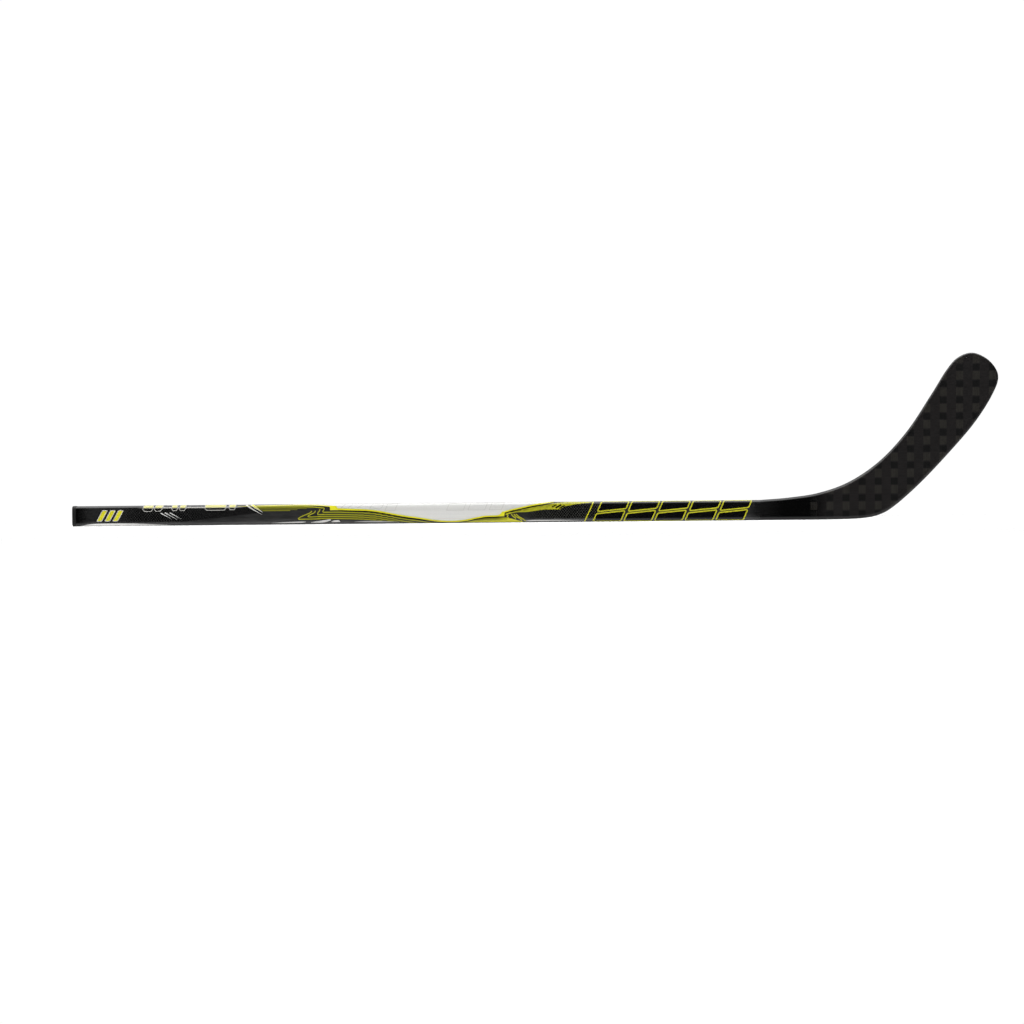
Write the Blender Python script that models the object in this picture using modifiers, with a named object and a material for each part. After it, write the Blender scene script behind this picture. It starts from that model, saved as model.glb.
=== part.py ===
"""Ice hockey stick, youth size, left-handed: a hollow composite shaft fused to a foam-cored blade.

The stick stands on the lower narrow edge of its shaft, as it is shown on a rack: +X runs along the
shaft from the butt to the toe, +Y is the back of the blade and +Z is up.  The origin is at the
middle of the overall length and of the shaft's depth, at the height of the lower edge.

Lengths along the stick are measured from the butt end, in metres.
"""
import math

import bmesh
import bpy
from mathutils import Vector

# Overall
TOTAL_LENGTH = 1.2162
BUTT_X = -TOTAL_LENGTH / 2
GAP = 0.0003  # left between pieces that touch

# Shaft
SHAFT_WIDTH = 0.0266  # wide face, along Z
SHAFT_DEPTH = 0.0180  # narrow face, along Y
SHAFT_CORNER = 0.0046
SHAFT_WALL = 0.0021
SHAFT_END = 0.8880  # where the shaft meets the shoulder of the hosel
CORNER_STEPS = 7

# End cap
CAP_LENGTH = 0.0050  # the part that shows
CAP_PROUD = 0.0004
CAP_ROUNDING = 0.0018
DISH_INSET = 0.0048  # shallow recess moulded in the cap's end
DISH_DEPTH = 0.0010
PLUG_LENGTH = 0.0340
PLUG_SLACK = 0.0010  # between the plug's stem and its ribs' crests
RIB_COUNT = 5
RIB_LENGTH = 0.0028

# Joint between shaft and hosel
WRAP_THICKNESS = 0.0008
WRAP_START = 0.8730
WRAP_END = 0.9030
TENON_START = 0.8280
TENON_CHAMFER = 0.0015
FOAM_PLUG_LENGTH = 0.0360

# Blade, from the end of the joint wrap: the outline's lower and upper edges, up to the toe
LOWER_EDGE = (
    (0.9030, 0.0000), (0.9500, 0.0000), (0.9960, 0.0001), (1.0355, 0.0012), (1.0586, 0.0054),
    (1.0799, 0.0170), (1.1150, 0.0478), (1.1541, 0.0888), (1.1854, 0.1255), (1.2079, 0.1608),
    (1.2162, 0.1860),
)
UPPER_EDGE = (
    (0.9030, 0.0266), (0.9420, 0.0295), (0.9820, 0.0356), (1.0220, 0.0500), (1.0620, 0.0771),
    (1.0980, 0.1158), (1.1290, 0.1622), (1.1495, 0.1949), (1.1647, 0.2115), (1.1842, 0.2171),
)
TOE_TIP = (1.2052, 0.2061)
CENTRE_LINE = (
    (0.8700, 0.0133), (0.9030, 0.0133), (0.9560, 0.0156), (1.0070, 0.0240), (1.0540, 0.0425),
    (1.0980, 0.0745), (1.1380, 0.1160), (1.1730, 0.1600), (1.2052, 0.2061),
)
EDGE_STEPS = 12  # samples between two outline points
RAIL_WIDTH = 0.0050  # the edge rail, measured inwards from the outline
SKIN = 0.0010
BLADE_DEPTH = (  # distance along the centre line from the wrap, depth of the section
    (0.000, 0.0180), (0.050, 0.0161), (0.110, 0.0122), (0.170, 0.0096),
    (0.240, 0.0080), (0.310, 0.0068), (0.380, 0.0056),
)
BOW_START = 0.145  # where the blade's curve begins, along the centre line
BOW_LENGTH = 0.215
BOW_DEPTH = 0.0095  # how far the toe stands forward of the shaft's plane
FACE_OPEN = math.radians(3.5)  # how far the face turns up at the toe
HOSEL_CORE_END = 0.27  # as a part of the blade's length
CORE_END = 0.975
GAP_SHARE = 0.0012  # the gap, as a part of the blade's length along its shorter, upper edge
RIB_WIDTH = 0.0030
STATIONS = 40
ROWS = 4

# Finishes: colour, roughness, metallic
FINISHES = {
    "cap_rubber": ((0.012, 0.012, 0.012), 0.62, 0.0),
    "gloss_black_laminate": ((0.010, 0.010, 0.010), 0.16, 0.0),
    "carbon_weave": ((0.018, 0.017, 0.016), 0.30, 0.0),
    "carbon_tow": ((0.014, 0.013, 0.013), 0.34, 0.0),
    "hosel_composite": ((0.050, 0.050, 0.048), 0.55, 0.0),
    "blade_foam": ((0.620, 0.560, 0.420), 0.90, 0.0),
    "shaft_foam": ((0.780, 0.780, 0.740), 0.92, 0.0),
}


# ---------------------------------------------------------------- scene and materials

def clear_scene():
    for item in list(bpy.data.objects):
        bpy.data.objects.remove(item, do_unlink=True)


def new_collection(name):
    collection = bpy.data.collections.new(name)
    bpy.context.scene.collection.children.link(collection)
    return collection


def finish(name):
    """The Principled material of this name, made once."""
    if name in bpy.data.materials:
        return bpy.data.materials[name]
    colour, roughness, metallic = FINISHES[name]
    material = bpy.data.materials.new(name)
    material.use_nodes = True
    shader = material.node_tree.nodes["Principled BSDF"]
    shader.inputs["Base Color"].default_value = (*colour, 1.0)
    shader.inputs["Roughness"].default_value = roughness
    shader.inputs["Metallic"].default_value = metallic
    material.diffuse_color = (*colour, 1.0)
    return material


def add_object(name, mesh, collection, material=None):
    item = bpy.data.objects.new(name, mesh)
    collection.objects.link(item)
    if material:
        mesh.materials.append(finish(material))
    return item


def shade(mesh, angle=35):
    mesh.shade_smooth()
    mesh.set_sharp_from_angle(angle=math.radians(angle))


def mesh_from(name, bm):
    bmesh.ops.recalc_face_normals(bm, faces=bm.faces)
    mesh = bpy.data.meshes.new(name)
    bm.to_mesh(mesh)
    bm.free()
    shade(mesh)
    return mesh


# ---------------------------------------------------------------- curves and outlines

def smooth_through(points, steps):
    """A Catmull-Rom curve through the points, as a dense list of 2D vectors."""
    points = [Vector(p) for p in points]
    ends = [2 * points[0] - points[1]] + points + [2 * points[-1] - points[-2]]
    curve = []
    for before, start, end, after in zip(ends, ends[1:], ends[2:], ends[3:]):
        for step in range(steps):
            t = step / steps
            curve.append(0.5 * (
                2 * start + (end - before) * t
                + (2 * before - 5 * start + 4 * end - after) * t ** 2
                + (3 * start - before - 3 * end + after) * t ** 3
            ))
    curve.append(points[-1])
    return curve


def lengths_along(curve):
    total = [0.0]
    for a, b in zip(curve, curve[1:]):
        total.append(total[-1] + (b - a).length)
    return total


def point_at(curve, lengths, distance):
    """The point at this distance along a dense curve."""
    distance = min(max(distance, 0.0), lengths[-1])
    for index in range(1, len(curve)):
        if lengths[index] >= distance:
            span = lengths[index] - lengths[index - 1]
            share = (distance - lengths[index - 1]) / span
            return curve[index - 1].lerp(curve[index], share)
    return curve[-1]


def outline():
    """The whole blade edge as one curve: along the lower edge, round the toe, back along the upper."""
    edge = LOWER_EDGE + (TOE_TIP,) + tuple(reversed(UPPER_EDGE))
    return smooth_through(edge, EDGE_STEPS)


OUTLINE = outline()
TIP_INDEX = len(LOWER_EDGE) * EDGE_STEPS
CENTRE = smooth_through(CENTRE_LINE, EDGE_STEPS)
CENTRE_LENGTHS = lengths_along(CENTRE)
CENTRE_START = CENTRE_LINE[1][0] - CENTRE_LINE[0][0]


def inward(index):
    """Unit vector from the outline into the blade, at one of its points."""
    before = OUTLINE[max(index - 1, 0)]
    after = OUTLINE[min(index + 1, len(OUTLINE) - 1)]
    along = (after - before).normalized()
    if index in (0, len(OUTLINE) - 1):
        along.y = 0.0
        along.normalize()
    return Vector((-along.y, along.x))


def edges(inset):
    """Lower and upper edge of the outline moved inwards, each from the wrap to the toe."""
    moved = [point + inward(i) * inset for i, point in enumerate(OUTLINE)]
    return moved[:TIP_INDEX + 1], list(reversed(moved[TIP_INDEX:]))


def along_and_across(point):
    """Distance along the centre line from the wrap, and height above that line."""
    nearest = None
    for index in range(len(CENTRE) - 1):
        start, end = CENTRE[index], CENTRE[index + 1]
        span = end - start
        share = (point - start).dot(span) / span.length_squared
        if index > 0:
            share = max(share, 0.0)
        if index < len(CENTRE) - 2:
            share = min(share, 1.0)
        foot = start + span * share
        distance = (point - foot).length
        if nearest is None or distance < nearest[0]:
            side = span.x * (point - foot).y - span.y * (point - foot).x
            along = CENTRE_LENGTHS[index] + share * span.length - CENTRE_START
            nearest = (distance, along, math.copysign(distance, side))
    return nearest[1], nearest[2]


def ease(t):
    t = min(max(t, 0.0), 1.0)
    return t * t * (3 - 2 * t)


def depth_at(point):
    """Depth of the blade's section, front to back."""
    along = along_and_across(point)[0]
    if along <= BLADE_DEPTH[0][0]:
        return BLADE_DEPTH[0][1]
    for (a, depth_a), (b, depth_b) in zip(BLADE_DEPTH, BLADE_DEPTH[1:]):
        if along <= b:
            return depth_a + (depth_b - depth_a) * (along - a) / (b - a)
    return BLADE_DEPTH[-1][1]


def bow_at(point):
    """How far the middle of the blade stands in front of the shaft's plane, at this point."""
    along, across = along_and_across(point)
    t = max((along - BOW_START) / BOW_LENGTH, 0.0)
    return -BOW_DEPTH * t ** 2 + across * math.sin(FACE_OPEN) * ease(t)


def place(point, y):
    """A point of the stick: length and height from the outline's plane, y from the middle surface."""
    return Vector((BUTT_X + point.x, y + bow_at(point), point.y))


# ---------------------------------------------------------------- rounded bars and tubes

def rounded_outline(width, depth, corner):
    """Rounded rectangle in the YZ plane round the origin, anticlockwise seen from +X."""
    points = []
    for quarter in range(4):
        y_side = 1 if quarter in (0, 3) else -1
        z_side = 1 if quarter in (0, 1) else -1
        centre_y = y_side * (depth / 2 - corner)
        centre_z = z_side * (width / 2 - corner)
        for step in range(CORNER_STEPS + 1):
            angle = math.pi / 2 * (quarter + step / CORNER_STEPS)
            points.append((centre_y + corner * math.cos(angle), centre_z + corner * math.sin(angle)))
    return points


def bar_mesh(name, start, end, inset=0.0, capped=True):
    """A bar of the shaft's section moved inwards by inset, from start to end along the stick."""
    corner = max(SHAFT_CORNER - inset, 0.0008)
    section = rounded_outline(SHAFT_WIDTH - 2 * inset, SHAFT_DEPTH - 2 * inset, corner)
    bm = bmesh.new()
    rings = []
    for x in (start, end):
        rings.append([bm.verts.new((BUTT_X + x, y, z + SHAFT_WIDTH / 2)) for y, z in section])
    count = len(section)
    for i in range(count):
        j = (i + 1) % count
        bm.faces.new((rings[0][i], rings[0][j], rings[1][j], rings[1][i]))
    if capped:
        bm.faces.new(rings[0])
        bm.faces.new(rings[1])
    return mesh_from(name, bm)


def add_tube(name, start, end, outer_inset, wall, collection, material):
    """An open bar surface with its wall grown inwards."""
    mesh = bar_mesh(name, start, end, outer_inset, capped=False)
    item = add_object(name, mesh, collection, material)
    solid = item.modifiers.new("wall", "SOLIDIFY")
    solid.thickness = wall
    solid.offset = -1
    solid.use_even_offset = True
    return item


def boolean(item, other, operation):
    cut = item.modifiers.new(operation.lower(), "BOOLEAN")
    cut.operation = operation
    cut.solver = "EXACT"
    cut.object = other


def add_helper(name, mesh, helpers):
    item = add_object(name, mesh, helpers)
    item.hide_render = True
    item.display_type = "WIRE"
    return item


# ---------------------------------------------------------------- butt end and shaft

def make_end_cap(parts, helpers):
    """Rubber cap: a rounded head, and a ribbed plug that grips the inside of the tube."""
    head = bar_mesh("end_cap", 0.0, CAP_LENGTH, -CAP_PROUD)
    for vertex in head.vertices:
        vertex.co.z = max(vertex.co.z, 0.0)
    cap = add_object("end_cap", head, parts, "cap_rubber")
    outer_end = cap.vertex_groups.new(name="outer_end")
    outer_end.add([v.index for v in head.vertices if v.co.x < BUTT_X + CAP_LENGTH / 2], 1.0, "REPLACE")
    rounding = cap.modifiers.new("rounding", "BEVEL")
    rounding.limit_method = "VGROUP"
    rounding.vertex_group = "outer_end"
    rounding.width = CAP_ROUNDING
    rounding.segments = 4
    dish = add_helper("cap_dish", bar_mesh("cap_dish", -CAP_LENGTH, DISH_DEPTH, DISH_INSET), helpers)
    boolean(cap, dish, "DIFFERENCE")

    rib_inset = SHAFT_WALL + GAP
    stem_inset = rib_inset + PLUG_SLACK
    stem_end = CAP_LENGTH + PLUG_LENGTH
    stem = add_helper("plug_stem", bar_mesh("plug_stem", CAP_LENGTH - 0.001, stem_end, stem_inset), helpers)
    boolean(cap, stem, "UNION")
    pitch = PLUG_LENGTH / (RIB_COUNT + 0.5)
    for number in range(RIB_COUNT):
        start = CAP_LENGTH + pitch * (number + 0.6)
        rib_name = f"plug_rib_{number + 1}"
        rib = add_helper(rib_name, bar_mesh(rib_name, start, start + RIB_LENGTH, rib_inset), helpers)
        boolean(cap, rib, "UNION")
    return cap


def make_shaft_tube(parts, helpers):
    """Hollow laminate tube, rebated at its lower end for the joint wrap."""
    tube = add_tube("shaft_tube", CAP_LENGTH + GAP, SHAFT_END, 0.0, SHAFT_WALL, parts, "gloss_black_laminate")
    rebate = add_tube(
        "rebate_cutter", WRAP_START, SHAFT_END + 0.01, -0.004, 0.004 + WRAP_THICKNESS + GAP, helpers, None)
    rebate.hide_render = True
    rebate.display_type = "WIRE"
    boolean(tube, rebate, "DIFFERENCE")
    return tube


def make_foam_plug(parts):
    """Foam plug that stops the adhesive from running up the tube and damps the shaft."""
    end = TENON_START - GAP
    mesh = bar_mesh("shaft_foam_plug", end - FOAM_PLUG_LENGTH, end, SHAFT_WALL + GAP)
    plug = add_object("shaft_foam_plug", mesh, parts, "shaft_foam")
    return plug


def make_joint_wrap(parts):
    """Thin laminate sleeve laid over the joint, flush with the shaft."""
    return add_tube("joint_wrap", WRAP_START + GAP, WRAP_END, 0.0, WRAP_THICKNESS, parts, "gloss_black_laminate")


# ---------------------------------------------------------------- hosel and blade

def station_pairs(inset, first, last, count):
    """Matching points on the lower and the upper edge, at even parts of the blade's length."""
    lower, upper = edges(inset)
    lower_lengths = lengths_along(lower)
    upper_lengths = lengths_along(upper)
    pairs = []
    for number in range(count + 1):
        part = first + (last - first) * number / count
        pairs.append((
            point_at(lower, lower_lengths, part * lower_lengths[-1]),
            point_at(upper, upper_lengths, part * upper_lengths[-1]),
        ))
    return pairs


def slab_mesh(name, pairs, front, back):
    """A closed plate between two edges; front and back give y at a point of the outline's plane."""
    bm = bmesh.new()
    sheets = []
    for surface in (front, back):
        sheet = []
        for lower, upper in pairs:
            row = []
            for step in range(ROWS + 1):
                point = lower.lerp(upper, step / ROWS)
                row.append(bm.verts.new(place(point, surface(point))))
            sheet.append(row)
        sheets.append(sheet)
    for sheet in sheets:
        for this, following in zip(sheet, sheet[1:]):
            for step in range(ROWS):
                bm.faces.new((this[step], following[step], following[step + 1], this[step + 1]))
    front_rim, back_rim = (rim_of(sheet) for sheet in sheets)
    for i in range(len(front_rim)):
        j = (i + 1) % len(front_rim)
        bm.faces.new((front_rim[i], front_rim[j], back_rim[j], back_rim[i]))
    bmesh.ops.remove_doubles(bm, verts=bm.verts, dist=1e-6)
    bmesh.ops.dissolve_degenerate(bm, dist=1e-6, edges=bm.edges)
    return mesh_from(name, bm)


def rim_of(sheet):
    """The vertices round a sheet, in order."""
    lower = [row[0] for row in sheet]
    upper = [row[-1] for row in sheet]
    return lower + sheet[-1][1:-1] + upper[::-1] + sheet[0][1:-1][::-1]


def front_face(point):
    return -depth_at(point) / 2


def back_face(point):
    return depth_at(point) / 2


def front_skin_inside(point):
    return front_face(point) + SKIN


def back_skin_inside(point):
    return back_face(point) - SKIN


def core_front(point):
    return front_face(point) + SKIN + GAP


def core_back(point):
    return back_face(point) - SKIN - GAP


def make_skins(parts):
    """The two carbon faces, which run from the joint wrap to the toe inside the edge rail."""
    pairs = station_pairs(RAIL_WIDTH + GAP, GAP_SHARE, 1.0, STATIONS)
    front = slab_mesh("blade_front_skin", pairs, front_face, front_skin_inside)
    back = slab_mesh("blade_back_skin", pairs, back_skin_inside, back_face)
    add_object("blade_front_skin", front, parts, "carbon_weave")
    add_object("blade_back_skin", back, parts, "carbon_weave")


def ring_between(lower, upper, depth, corner):
    """Rounded rectangle as high as the span between two outline points, depth thick."""
    span = upper - lower
    middle = (lower + upper) / 2
    ring = []
    for y, height in rounded_outline(span.length, depth, corner):
        ring.append(place(middle + span.normalized() * height, y))
    return ring


def make_hosel_core(parts):
    """Moulded block: the tenon in the tube, the shoulder under the wrap, and the hosel's filling."""
    def shaft_ring(x, inset):
        lower = Vector((x, inset))
        upper = Vector((x, SHAFT_WIDTH - inset))
        return ring_between(lower, upper, SHAFT_DEPTH - 2 * inset, SHAFT_CORNER - inset)

    bore = SHAFT_WALL + GAP
    shoulder = WRAP_THICKNESS + GAP
    rings = [
        shaft_ring(TENON_START, bore + TENON_CHAMFER),
        shaft_ring(TENON_START + TENON_CHAMFER, bore),
        shaft_ring(SHAFT_END + GAP, bore),
        shaft_ring(SHAFT_END + GAP, shoulder),
        shaft_ring(WRAP_END, shoulder),
    ]
    for lower, upper in station_pairs(RAIL_WIDTH + GAP, 0.0, HOSEL_CORE_END, STATIONS // 3):
        middle = (lower + upper) / 2
        depth = core_back(middle) - core_front(middle)
        rings.append(ring_between(lower, upper, depth, 0.0008))
    bm = bmesh.new()
    loops = [[bm.verts.new(point) for point in ring] for ring in rings]
    count = len(rings[0])
    for this, following in zip(loops, loops[1:]):
        for i in range(count):
            j = (i + 1) % count
            bm.faces.new((this[i], this[j], following[j], following[i]))
    bm.faces.new(loops[0])
    bm.faces.new(loops[-1])
    add_object("hosel_core", mesh_from("hosel_core", bm), parts, "hosel_composite")


def make_cores(parts):
    """Upper and lower foam core with a carbon rib between them."""
    start = HOSEL_CORE_END + GAP_SHARE
    pairs = station_pairs(RAIL_WIDTH + GAP, start, CORE_END, STATIONS)
    lower_core, rib, upper_core = [], [], []
    for lower, upper in pairs:
        middle = (lower + upper) / 2
        up = (upper - lower).normalized()
        half = RIB_WIDTH / 2
        lower_core.append((lower, middle - up * (half + GAP)))
        rib.append((middle - up * half, middle + up * half))
        upper_core.append((middle + up * (half + GAP), upper))
    for name, strip, material in (
        ("blade_lower_core", lower_core, "blade_foam"),
        ("blade_rib", rib, "carbon_tow"),
        ("blade_upper_core", upper_core, "blade_foam"),
    ):
        add_object(name, slab_mesh(name, strip, core_front, core_back), parts, material)


def make_edge_rail(parts):
    """Carbon rail round the blade's edge: a D-shaped strip from the wrap round the toe and back."""
    bm = bmesh.new()
    loops = []
    for index in rail_stations():
        start = OUTLINE[index]
        in_plane = inward(index)
        depth = depth_at(start)
        corner = min(SHAFT_CORNER, depth * 0.46)
        loop = []
        for inset, y in rail_section(depth, corner):
            point = start + in_plane * inset
            y *= depth_at(point) / depth
            loop.append(bm.verts.new(place(point, y)))
        loops.append(loop)
    count = len(loops[0])
    for this, following in zip(loops, loops[1:]):
        for i in range(count):
            j = (i + 1) % count
            bm.faces.new((this[i], this[j], following[j], following[i]))
    bm.faces.new(loops[0])
    bm.faces.new(loops[-1])
    add_object("blade_edge_rail", mesh_from("blade_edge_rail", bm), parts, "carbon_tow")


def rail_stations():
    """Outline points used by the rail: every third one, with both ends and the toe tip."""
    last = len(OUTLINE) - 1
    return sorted(set(range(0, last, 3)) | {TIP_INDEX, last})


def rail_section(depth, corner):
    """The rail's section as (distance in from the outline, y), from the front round to the back."""
    points = [(RAIL_WIDTH, -depth / 2)]
    for step in range(CORNER_STEPS + 1):
        angle = math.pi / 2 * step / CORNER_STEPS
        points.append((corner * (1 - math.sin(angle)), -depth / 2 + corner * (1 - math.cos(angle))))
    points += [(inset, -y) for inset, y in reversed(points)]
    return points


def main():
    clear_scene()
    parts = new_collection("ice_hockey_stick")
    helpers = new_collection("cutters")
    make_end_cap(parts, helpers)
    make_shaft_tube(parts, helpers)
    make_foam_plug(parts)
    make_joint_wrap(parts)
    make_hosel_core(parts)
    make_skins(parts)
    make_cores(parts)
    make_edge_rail(parts)


main()
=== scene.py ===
"""Ice hockey stick: the visible surfaces, printed graphics, materials, light and camera.

The stick stands on the lower edge of its shaft with the butt at -X and the blade at +X.  Lengths
along the stick (s) are measured from the butt end and heights (h) from the lower edge.  Graphics are
laid out in millimetres on the unrolled shaft and then wrapped round it.
"""

import math

import bmesh
import bpy
from mathutils import Matrix, Vector


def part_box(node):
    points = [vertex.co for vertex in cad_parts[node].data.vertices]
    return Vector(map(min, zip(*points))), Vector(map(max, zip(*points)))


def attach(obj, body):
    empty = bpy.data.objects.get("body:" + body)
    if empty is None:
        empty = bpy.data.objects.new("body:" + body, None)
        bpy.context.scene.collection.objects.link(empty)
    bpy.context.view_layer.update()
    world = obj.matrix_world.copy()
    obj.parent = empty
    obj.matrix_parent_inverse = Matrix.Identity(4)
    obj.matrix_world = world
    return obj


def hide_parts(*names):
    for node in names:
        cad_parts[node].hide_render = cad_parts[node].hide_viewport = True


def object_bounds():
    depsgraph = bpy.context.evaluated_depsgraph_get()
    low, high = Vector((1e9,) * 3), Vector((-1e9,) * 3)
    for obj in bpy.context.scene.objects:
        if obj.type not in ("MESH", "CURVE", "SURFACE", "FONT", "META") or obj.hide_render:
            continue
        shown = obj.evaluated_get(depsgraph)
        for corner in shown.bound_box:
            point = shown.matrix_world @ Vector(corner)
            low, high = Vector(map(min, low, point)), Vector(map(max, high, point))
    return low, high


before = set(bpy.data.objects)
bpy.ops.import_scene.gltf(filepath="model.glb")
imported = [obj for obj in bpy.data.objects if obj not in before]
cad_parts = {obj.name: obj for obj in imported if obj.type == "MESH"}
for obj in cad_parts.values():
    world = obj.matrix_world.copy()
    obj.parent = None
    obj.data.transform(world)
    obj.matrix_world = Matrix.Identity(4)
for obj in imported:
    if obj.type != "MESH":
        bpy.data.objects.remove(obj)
cad_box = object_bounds()

MM = 0.001
BODY = "stick"

# ---------------------------------------------------------------- sizes from the frame
tube_low, tube_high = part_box("shaft_tube")
wrap_low, wrap_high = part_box("joint_wrap")
BUTT_X = cad_box[0].x
WIDTH = tube_high.z - tube_low.z
DEPTH = tube_high.y - tube_low.y
CORNER = 4.6 * MM
TUBE_START = tube_low.x - BUTT_X
TUBE_END = tube_high.x - BUTT_X
WRAP_START = wrap_low.x - BUTT_X
WRAP_END = wrap_high.x - BUTT_X
WALL = 2.1 * MM
REBATE = 1.1 * MM  # turned off the tube's end, where the wrap lies
CAP_GAP = 0.3 * MM  # between the cap's head and the tube
ARC_STEPS = 16

# The perimeter from the middle of the wide face: flat, corner, then half of the narrow face.
FLAT = WIDTH / 2 - CORNER
ARC = CORNER * math.pi / 2
CORNER_END = FLAT + ARC
RIDGE = CORNER_END + DEPTH / 2 - CORNER

# ---------------------------------------------------------------- the blade's design
LOWER_EDGE = (
    (0.9030, 0.0000), (0.9500, 0.0000), (0.9960, 0.0001), (1.0355, 0.0012), (1.0586, 0.0054),
    (1.0799, 0.0170), (1.1150, 0.0478), (1.1541, 0.0888), (1.1854, 0.1255), (1.2079, 0.1608),
    (1.2162, 0.1860),
)
UPPER_EDGE = (
    (0.9030, 0.0266), (0.9420, 0.0295), (0.9820, 0.0356), (1.0220, 0.0500), (1.0620, 0.0771),
    (1.0980, 0.1158), (1.1290, 0.1622), (1.1495, 0.1949), (1.1647, 0.2115), (1.1842, 0.2171),
)
TOE_TIP = (1.2052, 0.2061)
CENTRE_LINE = (
    (0.8700, 0.0133), (0.9030, 0.0133), (0.9560, 0.0156), (1.0070, 0.0240), (1.0540, 0.0425),
    (1.0980, 0.0745), (1.1380, 0.1160), (1.1730, 0.1600), (1.2052, 0.2061),
)
BLADE_DEPTH = (
    (0.000, 0.0180), (0.050, 0.0161), (0.110, 0.0122), (0.170, 0.0096),
    (0.240, 0.0080), (0.310, 0.0068), (0.380, 0.0056),
)
BOW_START, BOW_LENGTH, BOW_DEPTH = 0.145, 0.215, 0.0095
FACE_OPEN = math.radians(3.5)
RAIL_WIDTH = 5.0 * MM
SKIN = 1.0 * MM
EDGE_STEPS = 16  # from one point of an edge to the next
STATIONS, ROWS = 120, 10  # the grid of a blade face, along and across


# ================================================================ small mesh helpers

def finish_mesh(name, bm):
    """The mesh, smooth except where its faces meet at a sharp angle."""
    bmesh.ops.recalc_face_normals(bm, faces=bm.faces)
    mesh = bpy.data.meshes.new(name)
    bm.to_mesh(mesh)
    bm.free()
    mesh.shade_smooth()
    mesh.set_sharp_from_angle(angle=math.radians(32))
    return mesh


def add_piece(mesh, material, replaced=None, body=BODY):
    """The piece of this mesh; it has the mesh's name."""
    piece = bpy.data.objects.new(mesh.name, mesh)
    bpy.context.scene.collection.objects.link(piece)
    mesh.materials.append(material)
    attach(piece, body)
    if replaced:
        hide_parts(replaced)


def join_lines(bm, lines, closed=True):
    """Faces between neighbouring lines of vertices; closed lines run round to their start."""
    count = len(lines[0])
    for this, following in zip(lines, lines[1:]):
        for i in range(count if closed else count - 1):
            j = (i + 1) % count
            bm.faces.new((this[i], this[j], following[j], following[i]))


def join_rows(bm, rows):
    """Faces between the neighbouring rows of a sheet."""
    for this, following in zip(rows, rows[1:]):
        for i in range(len(this) - 1):
            bm.faces.new((this[i], following[i], following[i + 1], this[i + 1]))


def loft(name, rings, closed=False):
    """A solid through rings of equal length; a closed loft joins the last ring to the first."""
    bm = bmesh.new()
    loops = [[bm.verts.new(point) for point in ring] for ring in rings]
    if closed:
        join_lines(bm, loops + loops[:1])
    else:
        join_lines(bm, loops)
        bm.faces.new(loops[0])
        bm.faces.new(loops[-1])
    return finish_mesh(name, bm)


# ================================================================ the shaft's section

def shaft_ring(s, inset=0.0):
    """Rounded-rectangular ring round the shaft at s, moved inwards by inset."""
    radius = max(CORNER - inset, 0.5 * MM)
    half_width = WIDTH / 2 - inset - radius
    half_depth = DEPTH / 2 - inset - radius
    ring = []
    for quarter in range(4):
        y_side = 1 if quarter in (0, 3) else -1
        z_side = 1 if quarter in (0, 1) else -1
        for step in range(ARC_STEPS + 1):
            angle = math.pi / 2 * (quarter + step / ARC_STEPS)
            y = y_side * half_depth + radius * math.cos(angle)
            z = z_side * half_width + radius * math.sin(angle)
            ring.append((BUTT_X + s, y, WIDTH / 2 + z))
    return ring


def perimeter_of(height):
    """Position round the section, from the wide face's middle, of a height in millimetres."""
    from_middle = height * MM - WIDTH / 2
    side = math.copysign(1.0, from_middle)
    rise = abs(from_middle)
    if rise <= FLAT:
        return from_middle
    if rise >= WIDTH / 2:
        return side * CORNER_END
    return side * (FLAT + CORNER * math.asin((rise - FLAT) / CORNER))


def on_shaft(s, v, lift, back):
    """The point at s and perimeter position v, lifted off the surface, on the front or the back."""
    side = math.copysign(1.0, v)
    run = abs(v)
    if run <= FLAT:
        y, z = -DEPTH / 2 - lift, v
    elif run <= CORNER_END:
        angle = (run - FLAT) / CORNER
        y = -(DEPTH / 2 - CORNER) - (CORNER + lift) * math.cos(angle)
        z = side * (FLAT + (CORNER + lift) * math.sin(angle))
    else:
        y = -(DEPTH / 2 - CORNER) + (run - CORNER_END)
        z = side * (WIDTH / 2 + lift)
    if back:
        y = -y
    return Vector((BUTT_X + s, y, WIDTH / 2 + z))


def section_normal(point):
    """Direction away from the section's core at a point of the shaft."""
    y = point.y - min(max(point.y, -(DEPTH / 2 - CORNER)), DEPTH / 2 - CORNER)
    height = point.z - WIDTH / 2
    z = height - min(max(height, -FLAT), FLAT)
    return Vector((0.0, y, z))


def true_normals(mesh):
    """Normals of the exact rounded section, on every face that lies along it."""
    normals = []
    for face in mesh.polygons:
        for index in face.vertices:
            normal = section_normal(mesh.vertices[index].co)
            agreement = normal.normalized().dot(face.normal)
            if normal.length < 0.1 * MM or abs(agreement) <= 0.85:
                normals.append(face.normal)
            else:
                normals.append(normal.normalized() * math.copysign(1.0, agreement))
    mesh.normals_split_custom_set(normals)


# ================================================================ materials

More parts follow.
